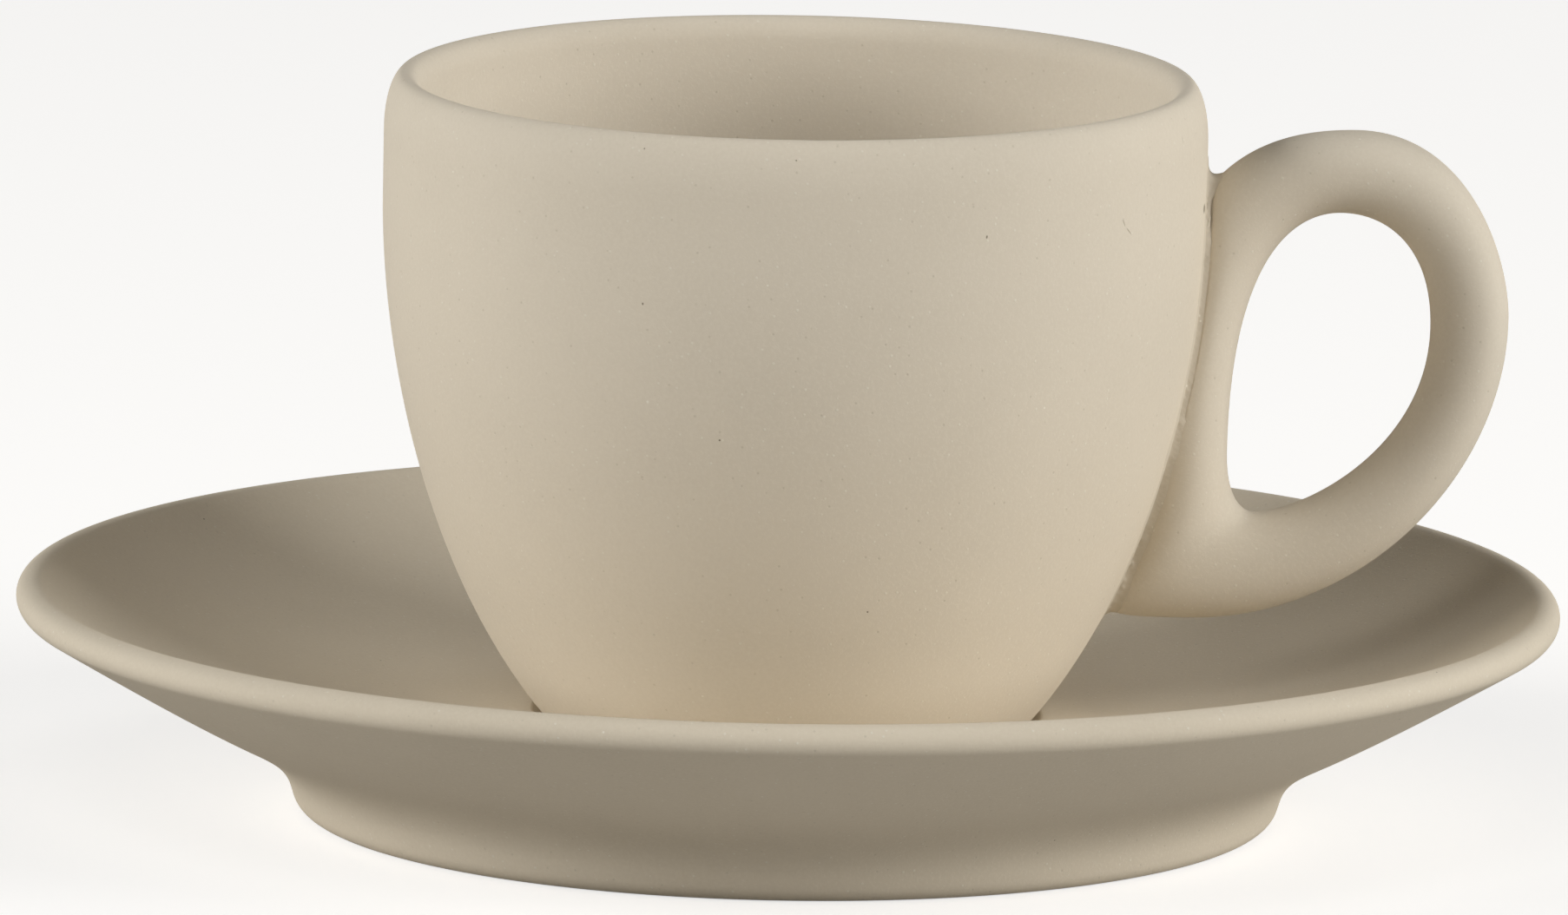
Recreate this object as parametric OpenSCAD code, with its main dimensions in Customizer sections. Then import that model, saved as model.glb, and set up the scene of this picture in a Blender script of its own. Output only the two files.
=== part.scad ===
/* [Cup] */
// Outer diameter of the cup where it is widest
cup_d = 63.9; // [58:0.1:70]
// Height of the cup from its foot to its lip
cup_h = 50.6; // [47:0.1:56]
// How far the egg curve ends below the lip, where the wall goes straight up
belly_drop = 9.9; // [8:0.1:13]
// How far below the foot the egg curve would close
egg_tail = 8.8; // [6:0.1:14]
// Egg curve, power along the height
egg_height_power = 1.87; // [1.7:0.01:2.1]
// Egg curve, power along the radius
egg_radius_power = 2.18; // [2:0.01:2.4]
// Thickness of the cup's wall
cup_wall = 2.85; // [2.2:0.05:3.6]
// Thickness of the cup's floor over its foot recess
cup_floor = 3; // [2.2:0.1:4]
// Radius between the inner wall and the floor
bowl_round = 8; // [4:0.5:9]
// Height of the lip's outer shoulder
lip_out_h = 4.4; // [3:0.1:5]
// Width of the lip's outer shoulder
lip_out_w = 1.55; // [1.2:0.05:1.8]
// Height of the lip's inner edge
lip_in_h = 1.9; // [1.2:0.1:3]

/* [Cup foot] */
// Width of the foot ring
cup_foot_w = 3.6; // [3:0.1:5]
// Depth of the recess under the cup
cup_recess = 1.5; // [1:0.1:2]
// Lean of the recess wall towards the axis
cup_recess_draft = 0.8; // [0.4:0.1:1.4]
// Radius between the recess wall and its ceiling
cup_recess_round = 1; // [0.5:0.1:1.2]
// Radius on the inner edge of the foot
cup_foot_in_round = 0.5; // [0.3:0.05:0.6]
// Radius on the outer edge of the foot
cup_foot_round = 0.9; // [0.5:0.1:1.2]
// Height at which the egg curve starts above the foot
cup_edge_h = 1.6; // [1.4:0.1:2.2]

/* [Handle] */
// Reach of the handle beyond the widest part of the cup
handle_reach = 23.5; // [21:0.1:26]
// How far the handle's top lies below the lip
handle_drop = 3.55; // [2.5:0.05:5]
// Height of the handle's lowest edge above the cup's foot
handle_low_h = 8.6; // [7.6:0.1:9.6]
// Thickness of the band where it stands out furthest
band_t = 6.05; // [5:0.05:7]
// Thickness of the band at its top
band_top_t = 6.4; // [5.4:0.1:7.4]
// Thickness of the root below the eye
root_t = 8.35; // [7:0.05:9.5]
// Thickness of the limb that lies along the wall
limb_t = 4.5; // [3.8:0.1:5.4]
// How far the loop's own outline would run on inside the wall
limb_key = 2; // [1.6:0.1:2.4]
// Width of the band across the handle
handle_w = 6.6; // [5.4:0.1:7.6]
// Width of the root across the handle
root_w = 7.4; // [6.6:0.1:8.4]
/* [Slip seam] */
// Thickness of the slip between the handle and the wall
seam_t = 0.5; // [0.4:0.05:0.7]
// How far the slip is squeezed out past the handle
seam_lip = 0.6; // [0.4:0.05:0.9]
// Hairline on each side of the slip
seam_gap = 0.05; // [0.04:0.01:0.08]

/* [Saucer] */
// Diameter of the saucer
saucer_d = 120; // [114:1:128]
// Height of the saucer from the table to its rim
saucer_h = 17.85; // [16.5:0.05:19]
// Thickness of the saucer's rolled rim
rim_t = 2.7; // [2.2:0.1:3.2]
// Height of the floor of the well above the table
seat_h = 7.3; // [6.8:0.1:8]
// Play round the cup's foot in the well
well_gap = 2; // [1:0.1:4]
// Depth of the well
well_t = 0.7; // [0.5:0.05:0.9]
// Run of the well's sloping edge
well_slope = 0.9; // [0.7:0.1:1.2]
// Radius on the top of the well's edge
well_top_round = 1; // [0.6:0.1:1.2]
// Radius at the bottom of the well's edge
well_low_round = 0.7; // [0.4:0.1:0.9]

/* [Saucer foot] */
// Diameter of the foot ring on the table
foot_d = 75.8; // [72:0.1:78]
// Width of the foot ring on the table
foot_w = 3.8; // [3:0.1:5]
// Height of the corner between the foot and the underside
foot_h = 5.3; // [4.6:0.1:5.8]
// How far the foot leans out up to that corner
foot_flare = 2.3; // [1.6:0.1:3]
// Radius on the foot's outer edge
foot_round = 1.8; // [1:0.1:2]
// Radius on the foot's inner edge
foot_in_round = 0.9; // [0.5:0.1:1.2]
// Radius of the hollow between the foot and the underside
foot_fillet = 2; // [1:0.1:2.4]
// Depth of the recess under the saucer
foot_recess = 3.1; // [2.6:0.1:3.6]
// Lean of the recess wall towards the axis
foot_draft = 1.2; // [0.6:0.1:2]
// Radius between the recess wall and its ceiling
foot_recess_round = 1.6; // [1:0.1:1.8]

/* [Saucer dish] */
// Slope of the underside where it leaves the foot, in degrees
under_foot_angle = 22.8; // [20:0.2:26]
// Slope of the underside where it meets the rim, in degrees
under_rim_angle = 30.6; // [28:0.2:34]
// Slope of the dish just inside the rim, in degrees
dish_rim_angle = 34; // [30:0.5:38]
// Slope of the dish where it meets the well, in degrees
dish_well_angle = 2; // [1:0.5:4]
// Straight lead at each end of the underside
under_lead = 5; // [4:0.5:6]
// Straight lead of the dish inside the rim
dish_rim_lead = 10; // [8:0.5:12]
// Straight lead of the dish outside the well
dish_well_lead = 17; // [14:0.5:19]
// Length of the plain line past each rounded corner
corner_lead = 1.6; // [1.4:0.1:2]

/* [Hidden] */

stoneware = [0.79, 0.74, 0.65];
slip_tone = [0.76, 0.71, 0.61];

cup_r = cup_d / 2;
belly_h = cup_h - belly_drop;
egg_h = belly_h + egg_tail;
bowl_h = cup_recess + cup_floor;
saucer_r = saucer_d / 2;
foot_r = foot_d / 2;
rim_r = rim_t / 2;
well_r = wall_r(0) + well_gap;
handle_top_h = cup_h - handle_drop;
handle_h = handle_top_h - handle_low_h;
eye_low_h = handle_low_h + root_t;
eye_h = handle_top_h - band_top_t - eye_low_h;

corner_steps = 8;
curve_steps = 30;
loop_steps = 13;
ring_steps = 24;
notch_steps = 120;
seam_rows = 26;
seam_columns = 10;
turn_fn = 180;

// How far each quarter of an outline keeps its direction: limb to top, top to outer edge,
// outer edge to bottom, bottom to limb
eye_turn_shares = [[0.75, 0.5], [0.52, 0.69], [0.66, 0.27], [0.59, 0.61]];
outer_turn_shares = [[0.7, 0.72], [0.73, 0.33], [0.51, 0.56], [3.5, 0.99]];
// Levels of the limb and of the outermost point on each outline, from its lowest point up
eye_level_shares = [0.192, 0.627];
outer_level_shares = [0.367, 0.622];
// Places of the top and of the lowest point on each outline, from the widest part of the cup out
eye_place_shares = [0.44, 0.172];
outer_place_shares = [0.487, -0.045];
// Where the inner wall stops following the egg curve, from the floor to the widest level
bowl_turn_share = 0.1;
// Step for slopes, from the height of the egg curve
slope_share = 0.001;
// Corner power of the slip's outline, and how thick the slip still is at its edge
seam_power = 4;
seam_edge_share = 0.4;

// A round corner at b between the lines to a and to c
function corner(a, b, c, r) =
    let (u = (a - b) / norm(a - b), v = (c - b) / norm(c - b))
    let (half = acos(u * v) / 2)
    let (middle = b + (u + v) / norm(u + v) * r / sin(half))
    let (from = b + u * r / tan(half) - middle, to = b + v * r / tan(half) - middle)
    let (start = atan2(from.y, from.x), turn = atan2(from.x * to.y - from.y * to.x, from * to))
    [for (i = [0:corner_steps]) middle + r * along(start + turn * i / corner_steps)];

function along(angle) = [cos(angle), sin(angle)];

// A cubic curve through p[0] and p[3]; its last point is left to what follows
function curve(p, steps) =
    [for (i = [0:steps - 1]) let (t = i / steps, s = 1 - t)
        s * s * s * p[0] + 3 * s * s * t * p[1] + 3 * s * t * t * p[2] + t * t * t * p[3]];

// Quarter of an outline that starts upright and ends level
function upright_to_level(a, b, share) =
    [a, [a.x, a.y + share[0] * (b.y - a.y)], [b.x - share[1] * (b.x - a.x), b.y], b];

// Quarter of an outline that starts level and ends upright
function level_to_upright(a, b, share) =
    [a, [a.x + share[0] * (b.x - a.x), a.y], [b.x, b.y - share[1] * (b.y - a.y)], b];

// Closed outline through its inner, top, outer and bottom points
function outline(inner, top, outer, bottom, shares, steps) = concat(
    curve(upright_to_level(inner, top, shares[0]), steps),
    curve(level_to_upright(top, outer, shares[1]), steps),
    curve(upright_to_level(outer, bottom, shares[2]), steps),
    curve(level_to_upright(bottom, inner, shares[3]), steps));

// Radius of the cup's outer wall at a height above its foot: a Lame curve up to the widest
// level, and straight above it
function wall_r(h) =
    h >= belly_h ? cup_r
    : cup_r * pow(1 - pow((belly_h - h) / egg_h, egg_height_power), 1 / egg_radius_power);

// Unit vector up along the outer wall
function wall_way(h) =
    let (step = egg_h * slope_share)
    let (way = [wall_r(h + step) - wall_r(h - step), 2 * step])
    way / norm(way);

// Point of the inner wall that faces the outer wall squarely at height h
function inner_wall(h) =
    let (way = wall_way(h))
    [wall_r(h), h] + cup_wall * [-way.y, way.x];

// Section of the cup, from the middle of its recess round the lip to the middle of its floor
function cup_profile() =
    let (edge_r = wall_r(0))
    let (ring_in_r = edge_r - cup_foot_w)
    let (ceiling = [ring_in_r - cup_recess_draft, cup_recess], inner = [ring_in_r, 0], outer = [edge_r, 0])
    let (start = [wall_r(cup_edge_h), cup_edge_h])
    let (crest_r = cup_r - lip_out_w, lip_in_w = cup_wall - lip_out_w)
    let (turn_h = bowl_h + (belly_h - bowl_h) * bowl_turn_share)
    let (low = inner_wall(turn_h), way = wall_way(turn_h))
    let (foot_of_wall = low - way * (low.y - bowl_h) / way.y)
    concat(
        [[0, cup_recess]],
        corner([0, cup_recess], ceiling, inner, cup_recess_round),
        corner(ceiling, inner, outer, cup_foot_in_round),
        corner(inner, outer, start, cup_foot_round),
        [for (i = [0:curve_steps]) let (h = cup_edge_h + (belly_h - cup_edge_h) * i / curve_steps)
            [wall_r(h), h]],
        [for (i = [0:corner_steps]) let (way = along(90 * i / corner_steps))
            [crest_r + lip_out_w * way.x, cup_h - lip_out_h + lip_out_h * way.y]],
        [for (i = [1:corner_steps]) let (way = along(90 + 90 * i / corner_steps))
            [crest_r + lip_in_w * way.x, cup_h - lip_in_h + lip_in_h * way.y]],
        [for (i = [0:curve_steps]) inner_wall(belly_h + (turn_h - belly_h) * i / curve_steps)],
        corner(low, foot_of_wall, [0, bowl_h], bowl_round),
        [[0, bowl_h]]);

// Section of the saucer, from the middle of its recess round the rim to the middle of the well
function saucer_profile() =
    let (ring_in_r = foot_r - foot_w)
    let (ceiling = [ring_in_r - foot_draft, foot_recess], inner = [ring_in_r, 0], outer = [foot_r, 0])
    let (heel = [foot_r + foot_flare, foot_h])
    let (under_start = heel + corner_lead * along(under_foot_angle))
    let (rim = [saucer_r - rim_r, saucer_h - rim_r])
    let (under_end_angle = under_rim_angle - 90, dish_start_angle = 90 + dish_rim_angle)
    let (under_end = rim + rim_r * along(under_end_angle))
    let (dish_start = rim + rim_r * along(dish_start_angle))
    let (well_top = [well_r + well_slope, seat_h + well_t], well_low = [well_r, seat_h])
    let (dish_end = well_top + corner_lead * along(dish_well_angle))
    concat(
        [[0, foot_recess]],
        corner([0, foot_recess], ceiling, inner, foot_recess_round),
        corner(ceiling, inner, outer, foot_in_round),
        corner(inner, outer, heel, foot_round),
        corner(outer, heel, under_start, foot_fillet),
        curve([under_start, under_start + under_lead * along(under_foot_angle),
               under_end - under_lead * along(under_rim_angle), under_end], curve_steps),
        [for (i = [0:2 * corner_steps])
            rim + rim_r * along(under_end_angle + (dish_start_angle - under_end_angle) * i / (2 * corner_steps))],
        [for (i = [1:curve_steps - 1])
            curve([dish_start, dish_start - dish_rim_lead * along(dish_rim_angle),
                   dish_end + dish_well_lead * along(dish_well_angle), dish_end], curve_steps)[i]],
        [dish_end],
        corner(dish_end, well_top, well_low, well_top_round),
        corner(well_top, well_low, [0, seat_h], well_low_round),
        [[0, seat_h]]);

// The handle's two outlines, in its own plane: x from the cup's axis, y above the cup's foot
function eye_outline(steps) =
    let (left_h = eye_low_h + eye_h * eye_level_shares[0], right_h = eye_low_h + eye_h * eye_level_shares[1])
    outline(
        [wall_r(left_h) + limb_t, left_h],
        [cup_r + handle_reach * eye_place_shares[0], eye_low_h + eye_h],
        [cup_r + handle_reach - band_t, right_h],
        [cup_r + handle_reach * eye_place_shares[1], eye_low_h],
        eye_turn_shares, steps);
function outer_outline(steps) =
    let (limb_h = handle_low_h + handle_h * outer_level_shares[0])
    outline(
        [wall_r(limb_h) - limb_key, limb_h],
        [cup_r + handle_reach * outer_place_shares[0], handle_top_h],
        [cup_r + handle_reach, handle_low_h + handle_h * outer_level_shares[1]],
        [cup_r + handle_reach * outer_place_shares[1], handle_low_h],
        outer_turn_shares, steps);

// A point that would lie inside the wall is moved straight out to a given distance from it
function outside_wall(p, distance) =
    let (reach = norm([p.x, p.y]), least = wall_r(p.z) + distance)
    reach < least ? [p.x * least / reach, p.y * least / reach, p.z] : p;

// Eases from 0 to 1
function eased(t) = let (c = min(max(t, 0), 1)) c * c * (3 - 2 * c);

// Closed skin over rings of points that follow one another round a loop
function loop_faces(rings, points) =
    [for (i = [0:rings - 1], j = [0:points - 1])
        let (a = i * points + j, b = i * points + (j + 1) % points)
        let (c = ((i + 1) % rings) * points + (j + 1) % points, d = ((i + 1) % rings) * points + j)
        each [[a, b, c], [a, c, d]]];

// The handle is a ring with an oval section between its two outlines. It is pressed against the
// wall, so its inner limb takes the wall's own shape
module handle_loop() {
    eye = eye_outline(loop_steps);
    outer = outer_outline(loop_steps);
    reach_x = cup_r + handle_reach;
    span = reach_x - eye[0].x;
    points = [for (i = [0:len(eye) - 1])
        let (middle = (eye[i] + outer[i]) / 2, half = (outer[i] - eye[i]) / 2)
        let (width = handle_w + (root_w - handle_w) * eased((reach_x - middle.x) / span))
        each [for (j = [0:ring_steps - 1]) let (way = along(360 * j / ring_steps))
            outside_wall([middle.x + half.x * way.x, width / 2 * way.y, middle.y + half.y * way.x], seam_t)]];
    polyhedron(points, loop_faces(len(eye), ring_steps), convexity = 6);
}

// A thin bed of slip that follows the wall under the handle and shows as a lip round it
module slip_bed() {
    buried = [for (p = outer_outline(notch_steps)) if (p.x < wall_r(p.y) + seam_t) p.y];
    top = max(buried) + seam_lip;
    low = min(buried) - seam_lip;
    rows = seam_rows;
    columns = seam_columns;
    side = [for (i = [0:rows]) -cos(180 * (i + 0.5) / (rows + 1))];
    skins = [for (skin = [0, 1]) each [for (i = [0:rows]) each [for (j = [0:columns])
        let (across = 2 * j / columns - 1, h = (top + low) / 2 + (top - low) / 2 * side[i])
        let (half_w = (root_w / 2 + seam_lip) * pow(1 - pow(abs(side[i]), seam_power), 1 / seam_power))
        let (at_edge = j == 0 || j == columns || i == 0 || i == rows)
        let (thick = (seam_t - 2 * seam_gap) * (at_edge ? seam_edge_share : 1))
        let (y = half_w * across, r = wall_r(h) + seam_gap + skin * thick)
        [sqrt(r * r - y * y), y, h]]]];
    wide = columns + 1;
    count = (rows + 1) * wide;
    sheet = [for (i = [0:rows - 1], j = [0:columns - 1]) let (a = i * wide + j)
        each [[a, a + 1, a + wide + 1], [a, a + wide + 1, a + wide]]];
    rim = concat([for (j = [0:columns - 1]) j], [for (i = [0:rows - 1]) i * wide + columns],
        [for (j = [columns:-1:1]) rows * wide + j], [for (i = [rows:-1:1]) i * wide]);
    polyhedron(skins, concat(
        sheet,
        [for (f = sheet) [f[2] + count, f[1] + count, f[0] + count]],
        [for (k = [0:len(rim) - 1]) let (a = rim[k], b = rim[(k + 1) % len(rim)])
            each [[b, a, a + count], [b, a + count, b + count]]]), convexity = 4);
}

module saucer() {
    color(stoneware) rotate_extrude($fn = turn_fn) polygon(saucer_profile());
}

module cup_body() {
    color(stoneware) translate([0, 0, seat_h]) rotate_extrude($fn = turn_fn) polygon(cup_profile());
}

module cup_handle() {
    color(stoneware) translate([0, 0, seat_h]) handle_loop();
}

module handle_slip() {
    color(slip_tone) translate([0, 0, seat_h]) slip_bed();
}

saucer();
cup_body();
cup_handle();
handle_slip();
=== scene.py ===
import math

import bpy
import numpy as np
from mathutils import Euler, Matrix, Vector


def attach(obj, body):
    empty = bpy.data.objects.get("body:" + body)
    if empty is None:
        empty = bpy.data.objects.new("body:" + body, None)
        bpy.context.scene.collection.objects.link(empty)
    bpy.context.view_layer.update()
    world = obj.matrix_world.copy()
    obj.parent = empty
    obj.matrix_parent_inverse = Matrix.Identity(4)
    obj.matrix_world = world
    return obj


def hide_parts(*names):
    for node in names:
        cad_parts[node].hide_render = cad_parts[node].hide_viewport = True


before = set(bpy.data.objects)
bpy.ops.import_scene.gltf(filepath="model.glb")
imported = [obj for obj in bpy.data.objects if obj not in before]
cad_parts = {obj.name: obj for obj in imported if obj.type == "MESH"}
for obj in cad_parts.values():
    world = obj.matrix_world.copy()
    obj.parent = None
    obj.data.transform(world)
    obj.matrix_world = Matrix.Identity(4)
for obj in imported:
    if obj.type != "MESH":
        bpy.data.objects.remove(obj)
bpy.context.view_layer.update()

# Espresso cup and saucer in matt beige stoneware. Sizes are in millimetres until a mesh is made.
# x runs towards the handle, y away from the camera and z up from the table.

metresPerMm = 0.001
chance = np.random.default_rng(417)


# shapes


def along(angle):
    # unit vector at an angle in degrees: cosine across, sine up
    turn = np.radians(angle)
    return np.stack([np.cos(turn), np.sin(turn)], -1)


def arc(centre, reachX, reachY, start, end, count=24):
    # part of an oval: centre plus each reach times the cosine or sine of the angle
    way = along(np.linspace(start, end, count))
    return np.asarray(centre) + way * [reachX, reachY]


def roundedCorner(before, corner, after, radius, count=20):
    # circle that touches both lines of a corner: its centre lies radius / sin(half angle) along the
    # line that halves the corner, and the arc sweeps from one touching point to the other
    before, corner, after = (np.asarray(p, float) for p in (before, corner, after))
    toBefore = (before - corner) / np.linalg.norm(before - corner)
    toAfter = (after - corner) / np.linalg.norm(after - corner)
    half = math.acos(toBefore @ toAfter) / 2
    middle = corner + (toBefore + toAfter) / np.linalg.norm(toBefore + toAfter) * radius / math.sin(half)
    first = corner + toBefore * radius / math.tan(half) - middle
    last = corner + toAfter * radius / math.tan(half) - middle
    start = math.degrees(math.atan2(first[1], first[0]))
    sweep = math.degrees(math.atan2(first[0] * last[1] - first[1] * last[0], first @ last))
    return middle + radius * along(np.linspace(start, start + sweep, count))


def curve(points, count=120):
    # cubic curve: each of the four points times its term of (1 - t) plus t, cubed
    t = np.linspace(0, 1, count)[:, None]
    a, b, c, d = (np.asarray(p, float) for p in points)
    return (1 - t) ** 3 * a + 3 * (1 - t) ** 2 * t * b + 3 * (1 - t) * t ** 2 * c + t ** 3 * d


samePoint = 1e-6         # points of a line closer than this are one


def spread(line, count, turnWeight):
    # new points along a line, evenly by its length plus turnWeight millimetres for each radian that
    # it turns, so that round corners get more of them
    line = line[np.r_[True, np.linalg.norm(np.diff(line, axis=0), axis=1) > samePoint]]
    step = np.diff(line, axis=0)
    length = np.linalg.norm(step, axis=1)
    heading = np.unwrap(np.arctan2(step[:, 1], step[:, 0]))
    bend = np.abs(np.diff(heading))
    turnHere = (np.r_[bend, 0] + np.r_[0, bend]) / 2
    travel = np.r_[0, np.cumsum(length + turnWeight * turnHere)]
    wanted = np.linspace(0, travel[-1], count)
    return np.stack([np.interp(wanted, travel, line[:, k]) for k in (0, 1)], -1)


def skin(name, grid, poles=False):
    # closed skin over a grid of rows by columns, a quad between each four neighbours. Columns always
    # meet round the back. Rows meet too, as on a ring, unless the first and last row are poles, which
    # are one point each and get a fan of triangles
    rows, columns = grid.shape[:2]
    j = np.arange(columns)
    ahead = (j + 1) % columns
    if poles:
        points = np.vstack([grid[0, :1], grid[1:-1].reshape(-1, 3), grid[-1, :1]])
        lowRow = 1 + np.arange(rows - 3)[:, None] * columns
        highRow = lowRow + columns
        lastRow = 1 + (rows - 3) * columns
        fans = np.vstack([np.stack([0 * j, 1 + ahead, 1 + j], -1),
                          np.stack([lastRow + j, lastRow + ahead, 0 * j + len(points) - 1], -1)])
    else:
        points = grid.reshape(-1, 3)
        lowRow = np.arange(rows)[:, None] * columns
        highRow = (lowRow + columns) % (rows * columns)
        fans = np.zeros((0, 3), int)
    quads = np.stack([lowRow + j, lowRow + ahead, highRow + ahead, highRow + j], -1).reshape(-1, 4)
    halves = np.vstack([quads[:, :3], quads[:, [0, 2, 3]], fans])
    a, b, c = (points[halves[:, k]] for k in range(3))
    if np.einsum("ij,ij->", a, np.cross(b, c)) < 0:     # volume below zero: the skin is inside out
        quads, fans = quads[:, ::-1], fans[:, ::-1]
    mesh = bpy.data.meshes.new(name)
    mesh.vertices.add(len(points))
    mesh.vertices.foreach_set("co", (points * metresPerMm).astype(np.float32).ravel())
    mesh.loops.add(quads.size + fans.size)
    mesh.loops.foreach_set("vertex_index", np.r_[quads.ravel(), fans.ravel()].astype(np.int32))
    starts = np.r_[np.arange(len(quads)) * 4, quads.size + np.arange(len(fans)) * 3]
    mesh.polygons.add(len(starts))
    mesh.polygons.foreach_set("loop_start", starts.astype(np.int32))
    mesh.update(calc_edges=True)
    mesh.shade_smooth()
    piece = bpy.data.objects.new(name, mesh)
    bpy.context.scene.collection.objects.link(piece)
    print("made", name, "with", len(quads) * 2 + len(fans), "triangles")
    return piece


def gentleWaves(angle, height, count, size, highest, pitch):
    # uneven surface of hand finished clay: a sum of cosine waves round and up the piece, each with
    # its own phase, scaled so that all together stay between minus size and nothing
    waves = np.zeros(np.broadcast(angle, height).shape)
    for _ in range(count):
        around = chance.integers(1, highest + 1)
        upward = chance.normal(0, 1 / pitch)
        waves += np.cos(around * angle + upward * height + chance.uniform(0, 2 * np.pi))
    return size * (waves / count - 1) / 2


def turned(profile, columns, waves):
    # turned piece: every profile point carried round the axis, pulled in along its own normal by
    # the waves, which fade out towards the axis and where the piece stands on something
    angle = np.linspace(0, 2 * np.pi, columns, endpoint=False)[None, :]
    slope = np.gradient(profile, axis=0)
    slope /= np.linalg.norm(slope, axis=1)[:, None]
    normal = np.stack([slope[:, 1], -slope[:, 0]], -1)
    low = profile[:, 1].min()
    free = np.clip((profile[:, 1] - low) / waves["fadeHeight"], 0, 1)[:, None]
    free = free * np.clip(profile[:, :1] / waves["fadeRadius"], 0, 1)
    depth = free * gentleWaves(angle, profile[:, 1:], waves["count"], waves["size"],
                               waves["roundUpTo"], waves["pitch"])
    radius = profile[:, :1] + normal[:, :1] * depth
    height = profile[:, 1:] + normal[:, 1:] * depth
    return np.stack([radius * np.cos(angle), radius * np.sin(angle), height + 0 * angle], -1)


# cup

cup = dict(across=63.9, height=50.6, bellyDrop=9.9, eggTail=8.8, eggHeightPower=1.87,
           eggRadiusPower=2.18, wall=2.85, floor=3, bowlRound=8, lipOutHeight=4.4,
           lipOutWidth=1.55, lipInHeight=1.9, footWidth=3.6, recess=1.5, recessDraft=0.8,
           recessRound=1, footInRound=0.5, footRound=0.9, edgeHeight=1.6, bowlTurnShare=0.1,
           rows=280, columns=320, turnWeight=3.2)
cupWaves = dict(count=9, size=0.05, roundUpTo=5, pitch=14, fadeHeight=6, fadeRadius=12)

# A lead is how far a curve is pulled along its line at that end. The hollow is the long curve between
# the foot and the underside
saucer = dict(across=120, height=17.85, rimThick=2.7, seatHeight=7.3, wellPlay=0.65, wellDepth=0.7,
              wellSlope=0.5, wellTopRound=0.6, wellLowRound=0.3, footAcross=75.8, footWidth=3.8,
              footHeight=2, footFlare=0.65, footRound=1.8, footInRound=0.9, hollowOut=6.6,
              hollowTop=7, hollowFootLead=1.95, hollowUnderLead=4.1, recess=3.1, recessDraft=1.2,
              recessRound=1.6, underFootAngle=26, underRimAngle=30.6, underLead=5,
              dishRimAngle=34, dishWellAngle=2, dishRimLead=10, dishWellLead=17, wellEdgeLead=1.6,
              rows=226, columns=420, turnWeight=3.2)
saucerWaves = dict(count=9, size=0.1, roundUpTo=5, pitch=20, fadeHeight=5, fadeRadius=24)

cupRadius = cup["across"] / 2
bellyHeight = cup["height"] - cup["bellyDrop"]
eggHeight = bellyHeight + cup["eggTail"]
seatHeight = saucer["seatHeight"]


def wallRadius(height):
    # outer wall of the cup at a height above its foot: an egg curve up to the widest level, one minus
    # the depth below it to one power, all to another, and straight above it
    depth = np.clip((bellyHeight - np.asarray(height, float)) / eggHeight, 0, 1)
    return cupRadius * (1 - depth ** cup["eggHeightPower"]) ** (1 / cup["eggRadiusPower"])


def wallWay(height):
    # unit vector up along that wall, from two points a little apart
    step = eggHeight / 1000
    way = np.stack([wallRadius(height + step) - wallRadius(height - step), 0 * height + 2 * step], -1)
    return way / np.linalg.norm(way, axis=-1, keepdims=True)


def cupProfile():
    # half section from the middle of the recess, round foot, wall and lip, to the middle of the floor.
    # The inner wall is the outer one moved in along its normal, and the lip is two quarter ovals
    c = cup
    edge = float(wallRadius(0))
    ringIn = edge - c["footWidth"]
    ceiling, inner, outer = (ringIn - c["recessDraft"], c["recess"]), (ringIn, 0), (edge, 0)
    start = (float(wallRadius(c["edgeHeight"])), c["edgeHeight"])
    bowlHeight = c["recess"] + c["floor"]
    crest = cupRadius - c["lipOutWidth"]
    turnHeight = bowlHeight + (bellyHeight - bowlHeight) * c["bowlTurnShare"]
    up = np.linspace(c["edgeHeight"], bellyHeight, num=160)
    down = np.linspace(bellyHeight, turnHeight, num=160)
    way = wallWay(down)
    wallIn = np.stack([wallRadius(down), down], -1) + c["wall"] * np.stack([-way[:, 1], way[:, 0]], -1)
    low, lowWay = wallIn[-1], way[-1]
    wallFoot = low - lowWay * (low[1] - bowlHeight) / lowWay[1]
    return np.vstack([
        (0, c["recess"]),
        roundedCorner((0, c["recess"]), ceiling, inner, c["recessRound"]),
        roundedCorner(ceiling, inner, outer, c["footInRound"]),
        roundedCorner(inner, outer, start, c["footRound"]),
        np.stack([wallRadius(up), up], -1),
        arc((crest, c["height"] - c["lipOutHeight"]), c["lipOutWidth"], c["lipOutHeight"], 0, 90,
            count=60),
        arc((crest, c["height"] - c["lipInHeight"]), c["wall"] - c["lipOutWidth"], c["lipInHeight"],
            90, 180, count=40),
        wallIn,
        roundedCorner(low, wallFoot, (0, bowlHeight), c["bowlRound"], count=60),
        (0, bowlHeight)])


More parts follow.
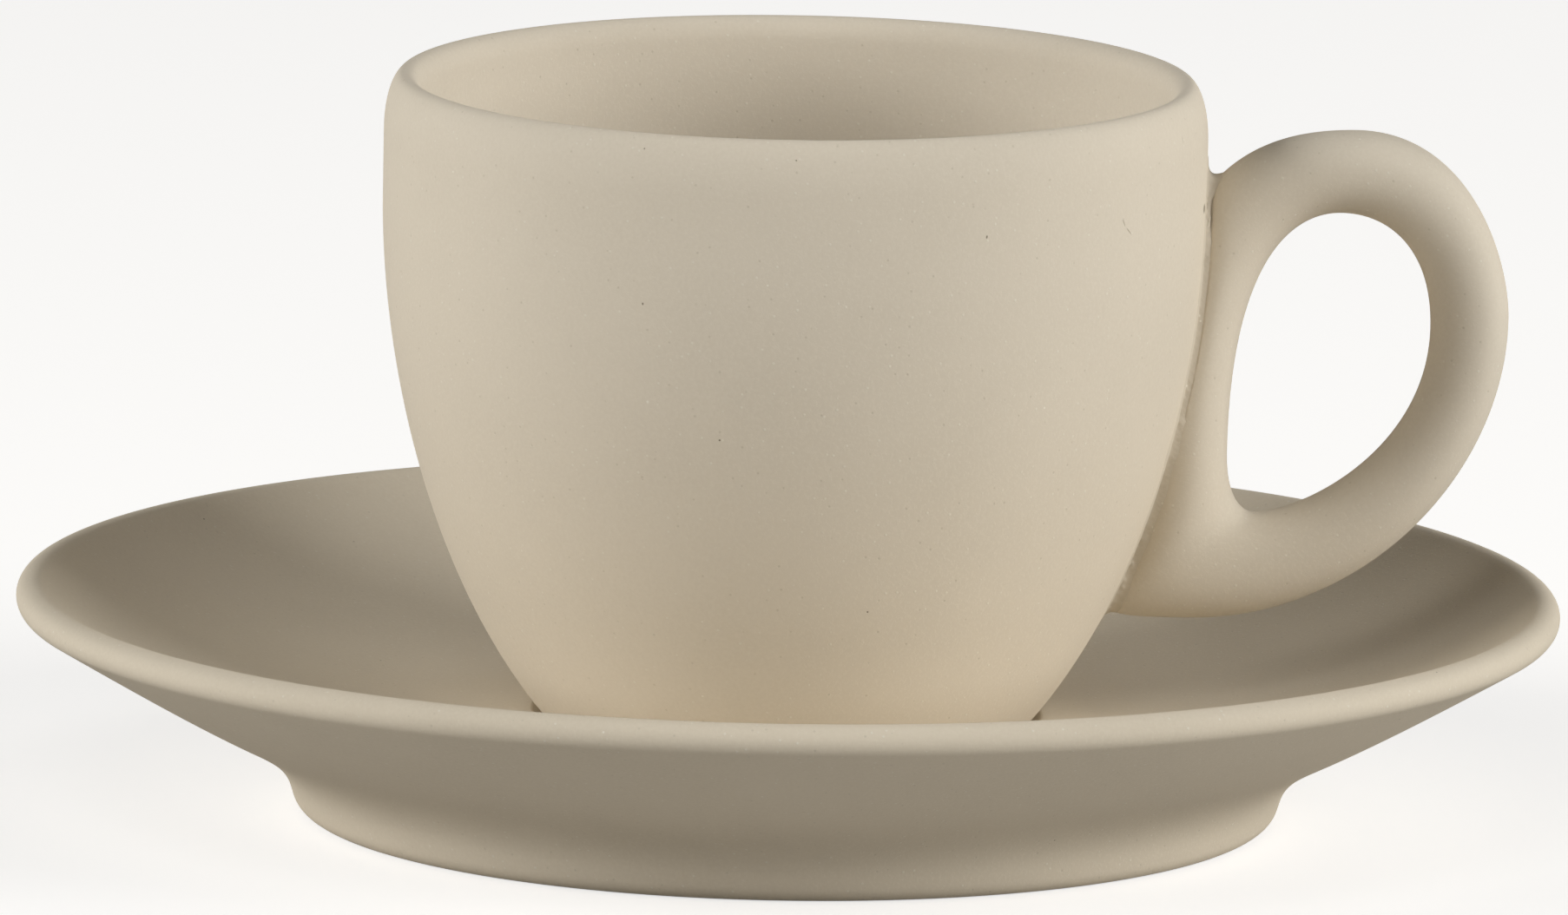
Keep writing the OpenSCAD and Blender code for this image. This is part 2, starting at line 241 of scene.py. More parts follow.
def saucerProfile():
    # half section from the middle of the recess, round foot, underside and rim, to the middle of the
    # well: lines with rounded corners, cubic curves for hollow, underside and dish, a circle for the rim
    s = saucer
    foot, rimRadius = s["footAcross"] / 2, s["rimThick"] / 2
    ringIn = foot - s["footWidth"]
    ceiling, inner, outer = (ringIn - s["recessDraft"], s["recess"]), (ringIn, 0), (foot, 0)
    wall = np.array([s["footFlare"], s["footHeight"]])
    heel = outer + wall
    underFoot, underRim = along(s["underFootAngle"]), along(s["underRimAngle"])
    underStart = np.array([foot + s["hollowOut"], s["hollowTop"]])
    rim = np.array([s["across"] / 2 - rimRadius, s["height"] - rimRadius])
    underTurn, dishTurn = s["underRimAngle"] - 90, 90 + s["dishRimAngle"]
    underEnd, dishStart = rim + rimRadius * along(underTurn), rim + rimRadius * along(dishTurn)
    well = float(wallRadius(0)) + s["wellPlay"]
    wellTop, wellLow = (well + s["wellSlope"], s["seatHeight"] + s["wellDepth"]), (well, s["seatHeight"])
    dishEnd = wellTop + s["wellEdgeLead"] * along(s["dishWellAngle"])
    return np.vstack([
        (0, s["recess"]),
        roundedCorner((0, s["recess"]), ceiling, inner, s["recessRound"]),
        roundedCorner(ceiling, inner, outer, s["footInRound"]),
        roundedCorner(inner, outer, heel, s["footRound"]),
        curve([heel, heel + s["hollowFootLead"] * wall / np.linalg.norm(wall),
               underStart - s["hollowUnderLead"] * underFoot, underStart], count=60),
        curve([underStart, underStart + s["underLead"] * underFoot, underEnd - s["underLead"] * underRim,
               underEnd]),
        arc(rim, rimRadius, rimRadius, underTurn, dishTurn, count=90),
        curve([dishStart, dishStart - s["dishRimLead"] * along(s["dishRimAngle"]),
               dishEnd + s["dishWellLead"] * along(s["dishWellAngle"]), dishEnd]),
        roundedCorner(dishEnd, wellTop, wellLow, s["wellTopRound"]),
        roundedCorner(wellTop, wellLow, (0, s["seatHeight"]), s["wellLowRound"]),
        (0, s["seatHeight"])])


saucerPiece = skin("saucer_turned",
                   turned(spread(saucerProfile(), saucer["rows"], saucer["turnWeight"]),
                          saucer["columns"], saucerWaves), poles=True)
cupLine = spread(cupProfile(), cup["rows"], cup["turnWeight"])
cupPiece = skin("cup_turned", turned(cupLine, cup["columns"], cupWaves) + [0, 0, seatHeight], poles=True)


# handle

handle = dict(reach=23.5, drop=3.55, lowHeight=8.6, band=6.05, bandTop=6.4, root=8.35, limb=4.5,
              limbKey=2, width=6.6, rootWidth=7.4, bed=0.5,
              eyeTurns=((0.75, 0.5), (0.52, 0.69), (0.66, 0.27), (0.59, 0.61)),
              outerTurns=((0.7, 0.72), (0.73, 0.33), (0.51, 0.56), (3.5, 0.99)),
              eyeLevels=(0.192, 0.627), outerLevels=(0.367, 0.622),
              eyePlaces=(0.44, 0.172), outerPlaces=(0.487, -0.045), squareness=2.1, crownOut=0.19,
              quarterRings=100, columns=128)
# Groove that a round tool leaves beside the wall: height above the foot, share of the width taken away
# there, and how far from the wall it reaches
handleGroove = ((9, 0.18, 3.0), (16, 0.09, 2.4), (22, 0.08, 1.6), (30, 0.12, 1.2), (38, 0.12, 1.0),
                (43, 0.05, 1.0))


def quarters(inner, top, outer, bottom, turns, count):
    # closed outline through four points, as cubic curves that leave and meet them upright or level. The
    # two turns of a curve are the shares of its width or height by which its ends are pulled
    inner, top, outer, bottom = (np.array(p, float) for p in (inner, top, outer, bottom))
    line = []
    for a, b, turn, upright in ((inner, top, turns[0], True), (top, outer, turns[1], False),
                                (outer, bottom, turns[2], True), (bottom, inner, turns[3], False)):
        first, second = ((0, 1), (1, 0)) if upright else ((1, 0), (0, 1))
        line.append(curve([a, a + turn[0] * (b - a) * first, b - turn[1] * (b - a) * second, b],
                          count + 1)[:-1])
    return np.vstack(line)


def handleOutlines(count):
    # the eye's outline and the outer one, seen from the side, through the inner, top, outer and bottom
    # point of each. Heights are shares of the eye's or the handle's height, places shares of the reach
    h = handle
    top = cup["height"] - h["drop"]
    tall = top - h["lowHeight"]
    eyeLow = h["lowHeight"] + h["root"]
    eyeTall = top - h["bandTop"] - eyeLow
    left = eyeLow + eyeTall * h["eyeLevels"][0]
    limbHeight = h["lowHeight"] + tall * h["outerLevels"][0]
    eye = quarters((wallRadius(left) + h["limb"], left),
                   (cupRadius + h["reach"] * h["eyePlaces"][0], eyeLow + eyeTall),
                   (cupRadius + h["reach"] - h["band"], eyeLow + eyeTall * h["eyeLevels"][1]),
                   (cupRadius + h["reach"] * h["eyePlaces"][1], eyeLow), h["eyeTurns"], count)
    outer = quarters((wallRadius(limbHeight) - h["limbKey"], limbHeight),
                     (cupRadius + h["reach"] * h["outerPlaces"][0], top),
                     (cupRadius + h["reach"], h["lowHeight"] + tall * h["outerLevels"][1]),
                     (cupRadius + h["reach"] * h["outerPlaces"][1], h["lowHeight"]),
                     h["outerTurns"], count)
    return eye, outer


def eased(t):
    # three t squared less two t cubed, held between 0 and 1
    t = np.clip(t, 0, 1)
    return t * t * (3 - 2 * t)


def outsideWall(points, distance):
    # a point that would lie inside the wall is moved straight out to a distance from it
    reach = np.hypot(points[..., 0], points[..., 1])
    least = wallRadius(points[..., 2]) + distance
    grow = np.where(reach < least, least / reach, 1)
    return points * np.stack([grow, grow, np.ones_like(grow)], -1)


def ovalSections(eye, outer, turn):
    # oval sections between the eye's outline and the outer one: the middle of the two plus half
    # their distance times cosine, and half the width times sine across, both to the power of two over
    # the squareness. The width grows towards the root, and the groove, a bell curve of the distance
    # from the wall, is taken off it. In the band the crown moves outwards by a share of sine squared
    h = handle
    middle, half = (eye + outer) / 2, (outer - eye) / 2
    share = eased((cupRadius + h["reach"] - middle[:, 0]) / (cupRadius + h["reach"] - eye[0, 0]))
    width = h["width"] + (h["rootWidth"] - h["width"]) * share
    way = along(turn)
    way = np.sign(way) * np.abs(way) ** (2 / h["squareness"])
    across = way[:, 0] + h["crownOut"] * (1 - share[:, None]) * way[:, 1] ** 2
    x, z = middle[:, :1] + half[:, :1] * across, middle[:, 1:] + half[:, 1:] * across
    y = width[:, None] / 2 * way[:, 1]
    groove = np.array(handleGroove)
    taken, reach = (np.interp(z, groove[:, 0], groove[:, k]) for k in (1, 2))
    clear = np.clip(np.hypot(x, y) - wallRadius(z), 0, None)
    return np.stack([x, y * (1 - taken * np.exp(-(clear / reach) ** 2)), z], -1)


def handleGrid():
    # the sections, with whatever would lie inside the wall moved out until there is room for the slip
    eye, outer = handleOutlines(handle["quarterRings"])
    turn = np.linspace(0, 360, handle["columns"], endpoint=False)
    return outsideWall(ovalSections(eye, outer, turn), handle["bed"])


handlePiece = skin("handle_pressed", handleGrid() + [0, 0, seatHeight])


# slip

# Slip squeezed out round the handle: height above the foot, how far it runs out over the wall there,
# how far it climbs past the handle's edge, the height of its ridge, the depth of the crack beside the
# handle and the width of the film wiped over the wall
slipWay = ((9.0, 0.8, 0.5, 0.0, 0.0, 0.5), (11.0, 0.35, 0.4, 0.02, 0.0, 1.2),
           (13.5, 0.2, 0.45, 0.01, 0.0, 1.5), (18.0, 0.14, 0.45, 0.0, 0.0, 1.3),
           (24.0, 0.12, 0.38, 0.0, 0.0, 1.0), (30.0, 0.14, 0.28, 0.0, 0.0, 0.7),
           (36.0, 0.2, 0.16, 0.0, 0.03, 0.6), (38.2, 0.3, 0.12, 0.03, 0.06, 0.5),
           (39.4, 0.4, 0.12, 0.06, 0.05, 0.4), (40.4, 0.5, 0.05, 0.02, 0.16, 0.4),
           (41.8, 0.55, 0.06, 0.0, 0.18, 0.4), (42.5, 0.9, 0.6, 0.0, 0.1, 0.4),
           (43.0, 1.9, 2.5, 0.0, 0.0, 0.6))
# Widths and places of its ridge and crack are shares of the way over the bead. Past filmWide times its
# width the film lies under the wall, into which filmSink times its thickness takes it
slip = dict(columns=960, beadRows=30, filmRows=7, bedRows=8, findRings=1200, findSteps=720, thick=0.4,
            sunk=0.24, bedInset=0.3, filmThick=0.03, filmWide=1.4, filmSink=2.6, wander=0.26,
            wanderEvery=5.5, rough=0.012, roughEvery=0.6, roughWaves=16, roughShares=(0.4, 1.6),
            roughLean=6, crackPlace=0.12, crackWidth=0.12, ridgePlace=0.5, ridgeWidth=0.22, inset=0.06,
            climbInset=0.06)
# Crumbs left on it and scars torn into it: height above the foot, place across from the handle, 0, to
# the wall, 1, size and how far raised
slipCrumbs = ((13.2, 0.75, 0.3, 0.2), (11.9, 0.8, 0.4, 0.2), (11.3, 0.5, 0.25, 0.14),
              (41.75, 0.85, 0.2, -0.14), (41.45, 0.85, 0.24, -0.2), (41.15, 0.85, 0.2, -0.14),
              (40.5, 0.9, 0.25, -0.15), (40.5, 0.25, 0.25, 0.16), (40.2, 0.4, 0.24, 0.18),
              (39.9, 0.55, 0.24, 0.18), (39.6, 0.7, 0.22, 0.14), (38.6, 0.35, 0.5, 0.1),
              (37.2, 0.8, 0.4, -0.08), (22.0, 0.5, 0.7, 0.06), (24.6, 0.5, 0.5, 0.12),
              (15.2, 0.6, 0.4, 0.1))


def unit(vectors):
    # each vector divided by its own length
    return vectors / np.linalg.norm(vectors, axis=-1, keepdims=True)


def dots(a, b):
    # sum of the products of two rows of vectors, one number for each pair
    return np.einsum("...j,...j->...", a, b)[..., None]


def laidOnWall(points, lift):
    # points moved straight out or in until they stand this far from the wall
    radius = wallRadius(points[..., 2]) + lift
    return np.concatenate([unit(points[..., :2]) * np.asarray(radius)[..., None], points[..., 2:]], -1)


def handleEdge(distance, columns):
    # closed line along which the handle's own surface leaves a skin this far outside the wall, evenly
    # by length, with the handle's outward normals; the far side mirrors the near one
    s = slip
    eye, outer = handleOutlines(s["findRings"] // 4)
    grid = ovalSections(eye, outer, np.linspace(180, 360, s["findSteps"]))
    clear = np.hypot(grid[..., 0], grid[..., 1]) - wallRadius(grid[..., 2]) - distance
    crosses = (clear[:, :-1] >= 0) != (clear[:, 1:] >= 0)
    ring = np.flatnonzero(crosses.any(1))
    ring = ring[np.argsort(grid[ring, 0, 2])]
    step = crosses[ring].argmax(1)
    share = (clear[ring, step] / (clear[ring, step] - clear[ring, step + 1]))[:, None]
    outward = unit(np.cross(np.gradient(grid, axis=0), np.gradient(grid, axis=1)))
    near, normal = (field[ring, step] * (1 - share) + field[ring, step + 1] * share
                    for field in (grid, outward))
    normal *= -np.sign(normal[:, 1:2])
    line = np.vstack([near, near[::-1] * [1, -1, 1]])
    normal = np.vstack([normal, normal[::-1] * [1, -1, 1]])
    travel = np.r_[0, np.cumsum(np.linalg.norm(np.diff(np.vstack([line, line[:1]]), axis=0), axis=1))]
    wanted = np.linspace(0, travel[-1], columns, endpoint=False)
    line, normal = (np.stack([np.interp(wanted, travel, np.r_[field[:, k], field[0, k]])
                              for k in range(3)], -1) for field in (line, normal))
    return line, unit(normal), travel[-1]


def wander(length, every, columns, count=14):
    # uneven value from about minus to plus one round a closed line: cosine waves about that far apart,
    # give or take a third, summed and divided by the root of their number
    turn = np.linspace(0, 2 * np.pi, columns, endpoint=False)
    mean = length / every
    waves = np.maximum(1, chance.normal(mean, mean / 3, count)).round()
    return np.cos(np.outer(turn, waves) + chance.uniform(0, 2 * np.pi, count)).sum(1) / math.sqrt(count)


def slipRelief(bead, edge, over, ridge, crack, length):
    # how far the slip stands out: a ridge along the middle, less a crack beside the handle, both bell
    # curves of the way over the bead, plus cosine waves round it that fade out at its two sides, plus
    # crumbs, bell curves of the distance from each
    s = slip
    angle = np.linspace(0, 2 * np.pi, s["columns"], endpoint=False)
    rough = sum(np.cos(angle * round(length / s["roughEvery"] * chance.uniform(*s["roughShares"]))
                       + over * chance.normal(0, s["roughLean"]) + chance.uniform(0, 2 * np.pi))
                for _ in range(s["roughWaves"])) / math.sqrt(s["roughWaves"])
    raised = (ridge[:, 0] * np.exp(-((over - s["ridgePlace"]) / s["ridgeWidth"]) ** 2)
              - crack[:, 0] * np.exp(-((over - s["crackPlace"]) / s["crackWidth"]) ** 2)
              + s["rough"] * rough * 4 * over * (1 - over))
    for height, across, size, high in slipCrumbs:
        nearest = int(np.argmin(np.abs(edge[:, 2] - height) + np.where(edge[:, 1] > 0, length, 0)))
        spot = bead[int(across * (s["beadRows"] - 1)), nearest]
        raised = raised + high * np.exp(-2 * ((bead - spot) ** 2).sum(-1) / size ** 2)
    return raised[..., None]


def slipGrid():
    # bead: a curve from the handle to the wall, pulled into the corner between them, each of the three
    # points times its term of (1 - t) plus t, squared, and raised by its relief. Then the film, sunk by
    # the square of the way over it, and the bed under the limb, whose rows shrink towards a pole
    s = slip
    edge, outHandle, length = handleEdge(handle["bed"], s["columns"])
    corner = laidOnWall(edge, 0)
    outWall = unit(edge - corner)
    tangent = unit(np.roll(edge, -1, axis=0) - np.roll(edge, 1, axis=0))
    alongWall = unit(np.cross(tangent, outWall))
    alongWall *= np.sign(dots(alongWall, outHandle))
    upHandle = unit(np.cross(tangent, outHandle))
    upHandle *= np.sign(dots(upHandle, outWall))
    way = np.array(slipWay)
    uneven = [1 + s["wander"] * wander(length, s["wanderEvery"], s["columns"]) for _ in range(5)]
    run, climb, ridge, crack, film = ((np.interp(edge[:, 2], way[:, 0], way[:, k + 1]) * uneven[k])[:, None]
                                      for k in range(5))
    t = np.linspace(0, 1, s["beadRows"])[:, None, None]
    start = edge + upHandle * climb - outHandle * (s["inset"] + s["climbInset"] * climb ** 2)
    toe = laidOnWall(corner + alongWall * run, s["filmThick"])
    bead = (1 - t) ** 2 * start + 2 * t * (1 - t) * corner + t ** 2 * toe
    bead = bead + unit(outWall + outHandle) * slipRelief(bead, edge, t[..., 0], ridge, crack, length)
    share = np.linspace(0, s["filmWide"], s["filmRows"] + 1)[1:, None, None]
    wiped = laidOnWall(corner + alongWall * (run + film * share),
                       s["filmThick"] * (1 - s["filmSink"] * share[..., 0] ** 2))
    under = laidOnWall(corner + alongWall * (run + film * s["filmWide"]), -s["sunk"])[None]
    inner = edge - alongWall * s["bedInset"]
    middle = np.array([cupRadius, 0, (edge[:, 2].min() + edge[:, 2].max()) / 2])
    shrink = np.linspace(0, 1, s["bedRows"])[:, None, None]
    bedTop = laidOnWall(middle + shrink * (inner - middle), s["thick"])
    bedLow = laidOnWall(middle + shrink[::-1] * (corner - middle), -s["sunk"])
    return np.vstack([bedTop, bead, wiped, under, bedLow])


slipPiece = skin("slip_seam", slipGrid() + [0, 0, seatHeight], poles=True)


# finishes


def linearColour(hexColour):
    # sRGB hex to linear: below the knee a 12.92th, above it the power 2.4 of the value moved by 0.055
    value = np.array([int(hexColour[k:k + 2], 16) for k in (1, 3, 5)]) / 255
    linear = np.where(value <= 0.04045, value / 12.92, ((value + 0.055) / 1.055) ** 2.4)
    return (*map(float, linear), 1.0)


def addNode(tree, kind, settings=None, links=None):
    # one node with its settings, which are its properties or unlinked sockets, and links into sockets
    node = tree.nodes.new(kind)
    for name, value in (settings or {}).items():
        if isinstance(name, str) and hasattr(node, name):
            setattr(node, name, value)
        else:
            node.inputs[name].default_value = value
    for name, source in (links or {}).items():
        tree.links.new(source, node.inputs[name])
    return node


def perMetre(millimetres):
    # pattern scale that gives features of this size: as many as fit in a metre
    return 1000 / millimetres


# Body colours lie between deep and body in clouds, with pale in the grain. Specks of each kind sit one
# in a cell of their spacing, in that share of the cells. Tops and ends are values of the noise. The
# ground clay starts at groundFrom above the foot and is full from groundBy down
stoneware = dict(body="#DFD5C4", pale="#E5DCCC", deep="#DBD1C0", cloudSize=16, cloudDetail=3,
                 cloudRough=0.5, cloudEnds=(0.3, 0.7), grainSize=0.3, grainDetail=2, grainRough=0.6,
                 grainDepth=0.006, grainTops=(0.5, 0.75), paleEnds=(0.35, 0.75), paleMost=0.45,
                 grogColour="#F0EADD", grogSpacing=2.4, grogSize=0.11, grogShare=0.3,
                 # the pinholes' dark brown colour is painted shade inside each hole
                 holeShadeColour="#8E8370", holeSpacing=2.9, holeSize=0.1, holeShare=0.16, holeDepth=0.06,
                 bumpColour="#E6DFD0", bumpSpacing=0.8, dentColour="#D3C9B7", dentSpacing=0.96,
                 fleckSize=0.13, fleckShare=0.45, fleckHeight=0.012, groundColour="#EAE2D3",
                 footHeight=0, groundFrom=0.25, groundBy=0.15, roughness=0.86, ior=1.5, specular=0.12,
                 marks=())
speckCore = 0.4

# Marks on the cup's wall as the photograph shows them: angle from the handle, height above the foot,
# length, width and lean from upright in degrees. Each is a ball that reaches half of markDeep into the
# wall and is full from markCore of its radius inwards
markDeep, markCore = 0.8, 0.5
cupMarks = (
    dict(angle=-62.6, height=42.98, long=0.32, wide=0.18, lean=-10, colour="#8E8370"),
    dict(angle=-20.5, height=47.95, long=0.9, wide=0.12, lean=12, colour="#B9AE98"),
    dict(angle=-37.7, height=42.8, long=0.95, wide=0.13, lean=28, colour="#B5AA94"),
    dict(angle=-36.5, height=42.05, long=1.1, wide=0.13, lean=48, colour="#B5AA94"),
    dict(angle=-111.2, height=37.59, long=0.26, wide=0.18, lean=0, colour="#8E8370"),
    dict(angle=-110.8, height=29.88, long=0.3, wide=0.26, lean=0, colour="#EDE7DA"),
    dict(angle=-7.4, height=41.43, long=0.9, wide=1.4, lean=0, colour="#9A8F7C"),
)


def spots(tree, place, spacing, size, share):
    # round specks: one Voronoi point for each cell of this spacing, cut off at the speck's radius and
    # full from its core inwards, kept in the share of cells whose random colour is low enough
    cells = addNode(tree, "ShaderNodeTexVoronoi", {"Scale": perMetre(spacing)}, {"Vector": place})
    radius = size / spacing
    near = addNode(tree, "ShaderNodeMapRange", {"From Min": radius, "From Max": radius * speckCore},
                   {"Value": cells.outputs["Distance"]})
    pick = addNode(tree, "ShaderNodeSeparateColor", None, {"Color": cells.outputs["Color"]})
    kept = addNode(tree, "ShaderNodeMath", {"operation": "LESS_THAN", 1: share}, {0: pick.outputs[0]})
    return addNode(tree, "ShaderNodeMath", {"operation": "MULTIPLY"},
                   {0: near.outputs["Result"], 1: kept.outputs[0]}).outputs[0]


def markMask(tree, place, mark):
    # place moved to the mark, turned upright and shrunk so that the mark is a ball of radius 1. The mask
    # rises straight from 0 at that radius to 1 at its core
    turn = math.radians(mark["angle"])
    radius = float(wallRadius(mark["height"]))
    centre = (radius * math.cos(turn), radius * math.sin(turn), mark["height"] + seatHeight)
    moved = addNode(tree, "ShaderNodeVectorMath",
                    {"operation": "SUBTRACT", 1: [v * metresPerMm for v in centre]}, {0: place})
    straight = addNode(tree, "ShaderNodeMapping", {"vector_type": "TEXTURE",
                                                   "Rotation": (math.radians(mark["lean"]), 0, turn)},
                       {"Vector": moved.outputs[0]})
    size = [perMetre(across / 2) for across in (markDeep, mark["wide"], mark["long"])]
    ball = addNode(tree, "ShaderNodeVectorMath", {"operation": "MULTIPLY", 1: size},
                   {0: straight.outputs[0]})
    reach = addNode(tree, "ShaderNodeVectorMath", {"operation": "LENGTH"}, {0: ball.outputs[0]})
    return addNode(tree, "ShaderNodeMapRange", {"From Min": 1.0, "From Max": markCore},
                   {"Value": reach.outputs["Value"]}).outputs["Result"]


def mattStoneware(name, look):
    # stoneware body with a little fine grog, jiggered or cast, sponged and fired without a glaze: chalky
    # and dry to the eye, no highlight, an even fine grain, small bumps and dents, pale grog specks and a
    # few pinholes, whose dark colour is painted shade inside each hole, and a paler foot where it was ground
    # flat. The real grain, about 0.1 mm, is drawn three times as coarse. Each layer's colour covers the ones
    # before it by the share that its mask gives. Relief: the grain's tops, plus bumps, less dents and
    # pinholes
    material = bpy.data.materials.new(name)
    material.use_nodes = True
    tree = material.node_tree
    tree.nodes.clear()
    place = addNode(tree, "ShaderNodeTexCoord").outputs["Object"]
    cloud, grain = (
        addNode(tree, "ShaderNodeTexNoise",
                {"Scale": perMetre(look[size]), "Detail": look[detail], "Roughness": look[rough]},
                {"Vector": place}).outputs["Fac"]
        for size, detail, rough in (("cloudSize", "cloudDetail", "cloudRough"),
                                    ("grainSize", "grainDetail", "grainRough")))
    height = addNode(tree, "ShaderNodeSeparateXYZ", None, {"Vector": place}).outputs["Z"]
    footEnds = [(look["footHeight"] + rise) * metresPerMm for rise in (look["groundFrom"], look["groundBy"])]
    # straight rises from 0 at the first end to the last value at the second
    clouded, paler, tops, footMask = (
        addNode(tree, "ShaderNodeMapRange", {"From Min": ends[0], "From Max": ends[1], "To Max": most},
                {"Value": source}).outputs["Result"]
        for source, ends, most in (
            (cloud, look["cloudEnds"], 1.0), (grain, look["paleEnds"], look["paleMost"]),
            (grain, look["grainTops"], 1.0), (height, footEnds, 1.0)))
    bumps, dents, grog, holes = (
        spots(tree, place, look[spacing], look[size], look[share])
        for spacing, size, share in (("bumpSpacing", "fleckSize", "fleckShare"),
                                     ("dentSpacing", "fleckSize", "fleckShare"),
                                     ("grogSpacing", "grogSize", "grogShare"),
                                     ("holeSpacing", "holeSize", "holeShare")))
    # the pinholes' layer paints their dark colour in: painted shade inside each hole
    layers = [(look["pale"], paler), (look["bumpColour"], bumps), (look["dentColour"], dents),
              (look["grogColour"], grog), (look["holeShadeColour"], holes), (look["groundColour"], footMask)]
    layers += [(mark["colour"], markMask(tree, place, mark)) for mark in look["marks"]]
    ground = addNode(tree, "ShaderNodeMix", {"data_type": "RGBA", 6: linearColour(look["deep"]),
                                             7: linearColour(look["body"])}, {"Factor": clouded}).outputs[2]
    for colour, mask in layers:
        ground = addNode(tree, "ShaderNodeMix", {"data_type": "RGBA", 7: linearColour(colour)},
                         {"Factor": mask, 6: ground}).outputs[2]
    relief = tops
    for mask, rise in ((bumps, look["fleckHeight"]), (dents, -look["fleckHeight"]),
                       (holes, -look["holeDepth"])):
        relief = addNode(tree, "ShaderNodeMath", {"operation": "MULTIPLY_ADD", 1: rise / look["grainDepth"]},
                         {0: mask, 2: relief}).outputs[0]
    bump = addNode(tree, "ShaderNodeBump", {"Strength": 1.0, "Distance": look["grainDepth"] * metresPerMm},
                   {"Height": relief})
    shader = addNode(tree, "ShaderNodeBsdfPrincipled",
                     {"Roughness": look["roughness"], "IOR": look["ior"],
                      "Specular IOR Level": look["specular"], "Diffuse Roughness": 0.0},
                     {"Base Color": ground, "Normal": bump.outputs["Normal"]})
    addNode(tree, "ShaderNodeOutputMaterial", None, {"Surface": shader.outputs[0]})
    return material


# What differs from the common finish: the saucer has a tone of its own, the slip is darker, partly a greyer
# slip clay and partly painted shade of the crease between the wall and the handle, and the last mark lies on
# the slip as well
saucerLook = dict(body="#DED3C0", pale="#E4DAC8", deep="#DACFBC")
cupLook = dict(footHeight=seatHeight, marks=cupMarks)
handleLook = dict()
# slip colours darker than the cup's: a greyer slip clay plus painted shade of the crease beside the handle
slipGreyerAndShadedLook = dict(body="#D5CBBA", pale="#DBD1C1", deep="#D1C7B5", marks=cupMarks[-1:])

for piece, node, body, slotName, look in (
        (saucerPiece, "saucer", "saucer", "saucer_stoneware", saucerLook),
        (cupPiece, "cup_body", "cup", "cup_stoneware", cupLook),
        (handlePiece, "cup_handle", "cup", "handle_stoneware", handleLook),
        (slipPiece, "handle_slip", "cup", "joining_slip", slipGreyerAndShadedLook)):
    piece.data.materials.append(mattStoneware(slotName, {**stoneware, **look}))
    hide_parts(node)
    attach(piece, body)
print("finishes on")


# camera and light

# The photograph's view: ten degrees above level, from far off with a long lens
view = dict(elevation=9.954, distance=2085.5, lens=617.06, sensor=36, farEnd=50000, roll=0.938,
            aimX=-0.53, aimHeight=27.94)


def addCamera():
    # stands distance away from the aim, elevation above level, then turns by roll about its own line
    rise = math.radians(view["elevation"])
    aim = Vector((view["aimX"], 0, view["aimHeight"])) * metresPerMm
    back = Vector((0, -math.cos(rise), math.sin(rise)))
    data = bpy.data.cameras.new("camera")
    data.lens, data.sensor_width = view["lens"], view["sensor"]
    data.clip_end = view["farEnd"] * metresPerMm
    camera = bpy.data.objects.new("camera", data)
    roll = Matrix.Rotation(math.radians(view["roll"]), 3, "Z")
    turn = Euler((math.pi / 2 - rise, 0, 0)).to_matrix() @ roll
    camera.matrix_world = Matrix.Translation(aim + back * view["distance"] * metresPerMm) @ turn.to_4x4()
    bpy.context.scene.collection.objects.link(camera)
    bpy.context.scene.camera = camera


# Softboxes: azimuth 0 is the camera's side, positive towards the handle; metres from here on
softboxes = (
    dict(name="softbox_left", azimuth=-73, elevation=20.5, distance=1.3, wide=0.9, tall=0.6, level=0.72),
    dict(name="softbox_right", azimuth=67, elevation=20.5, distance=1.3, wide=0.9, tall=0.7, level=0.81),
    dict(name="softbox_back", azimuth=135, elevation=36, distance=1.3, wide=0.5, tall=0.4, level=0.085),
    dict(name="fill_front", azimuth=-15, elevation=44, distance=1.3, wide=0.5, tall=0.4, level=0.1),
)
softboxAim = Vector((0, 0, 0.03))
softboxColour, backdropColour = "#FFFEFB", "#FFFFFF"
floor = dict(reach=4.0, colour="#C4C2BF", glow=0.66)


def addSoftbox(box):
    # faces the object. Its power is the level times pi squared times the distance squared, which makes
    # a matt surface that faces it about as bright as its own colour times the level
    turn, rise = math.radians(box["azimuth"]), math.radians(box["elevation"])
    away = Vector((math.sin(turn) * math.cos(rise), -math.cos(turn) * math.cos(rise), math.sin(rise)))
    data = bpy.data.lights.new(box["name"], "AREA")
    data.shape, data.size, data.size_y = "RECTANGLE", box["wide"], box["tall"]
    data.energy = box["level"] * math.pi ** 2 * box["distance"] ** 2
    data.color = linearColour(softboxColour)[:3]
    lamp = bpy.data.objects.new(box["name"], data)
    lamp.location = away * box["distance"] + softboxAim
    lamp.rotation_euler = away.to_track_quat("Z", "Y").to_euler()
    bpy.context.scene.collection.objects.link(lamp)


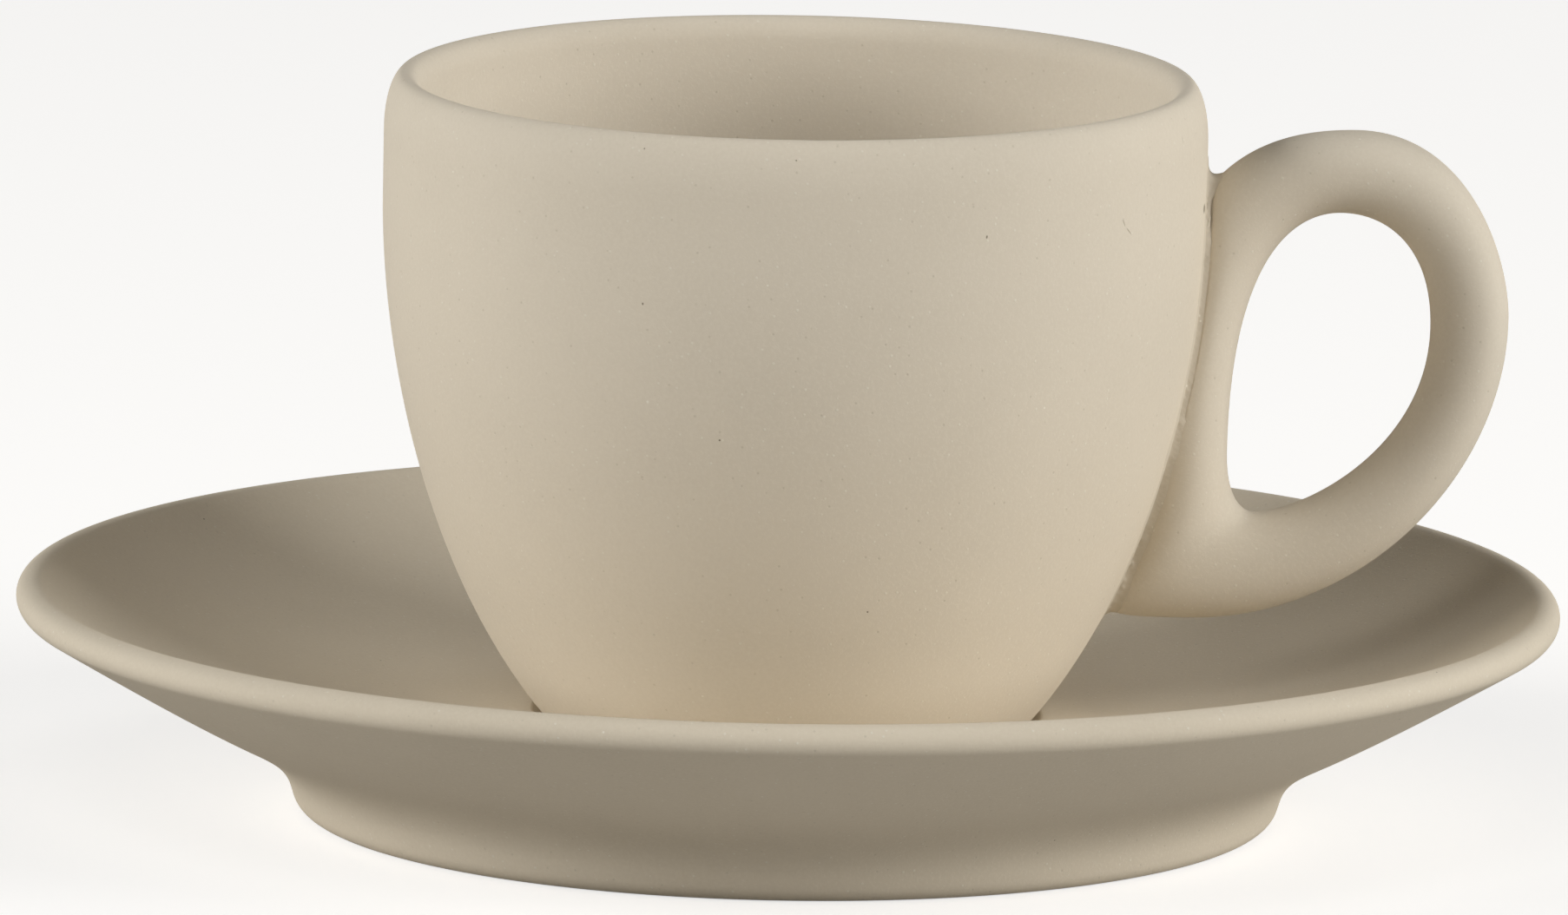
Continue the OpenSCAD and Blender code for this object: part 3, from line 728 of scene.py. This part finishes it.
def backdropSeen(tree):
    # 1 where the camera sees the backdrop, straight, in a shine or through glass, and 0 where it would
    # light the object: the largest of the three kinds of ray
    path = addNode(tree, "ShaderNodeLightPath").outputs
    seen = path["Is Camera Ray"]
    for ray in (path["Is Glossy Ray"], path["Is Transmission Ray"]):
        seen = addNode(tree, "ShaderNodeMath", {"operation": "MAXIMUM"}, {0: seen, 1: ray}).outputs[0]
    return seen


def addWorld():
    # white backdrop where the camera looks straight at it, and no light from it on the object
    world = bpy.data.worlds.new("studio")
    bpy.context.scene.world = world
    world.use_nodes = True
    tree = world.node_tree
    tree.nodes.clear()
    seen = backdropSeen(tree)
    dark = addNode(tree, "ShaderNodeBackground", {"Strength": 0.0})
    white = addNode(tree, "ShaderNodeBackground", {"Color": linearColour(backdropColour), "Strength": 1.0})
    both = addNode(tree, "ShaderNodeMixShader", None, {0: seen, 1: dark.outputs[0], 2: white.outputs[0]})
    addNode(tree, "ShaderNodeOutputWorld", None, {"Surface": both.outputs[0]})


def addFloor():
    # pale paper: it glows up to white where the camera looks and keeps the object's shadow
    far = floor["reach"]
    mesh = bpy.data.meshes.new("floor")
    mesh.from_pydata([(-far, -far, 0), (far, -far, 0), (far, far, 0), (-far, far, 0)], [], [(0, 1, 2, 3)])
    sheet = bpy.data.objects.new("floor", mesh)
    bpy.context.scene.collection.objects.link(sheet)
    material = bpy.data.materials.new("floorPaper")
    material.use_nodes = True
    tree = material.node_tree
    tree.nodes.clear()
    seen = backdropSeen(tree)
    paper = addNode(tree, "ShaderNodeBsdfDiffuse", {"Color": linearColour(floor["colour"])})
    glow = addNode(tree, "ShaderNodeEmission", {"Strength": floor["glow"]})
    bright = addNode(tree, "ShaderNodeAddShader", None, {0: paper.outputs[0], 1: glow.outputs[0]})
    both = addNode(tree, "ShaderNodeMixShader", None, {0: seen, 1: paper.outputs[0], 2: bright.outputs[0]})
    addNode(tree, "ShaderNodeOutputMaterial", None, {"Surface": both.outputs[0]})
    mesh.materials.append(material)


addCamera()
for box in softboxes:
    addSoftbox(box)
addWorld()
addFloor()
bpy.context.scene.view_settings.view_transform = "Standard"
print("camera and light set")
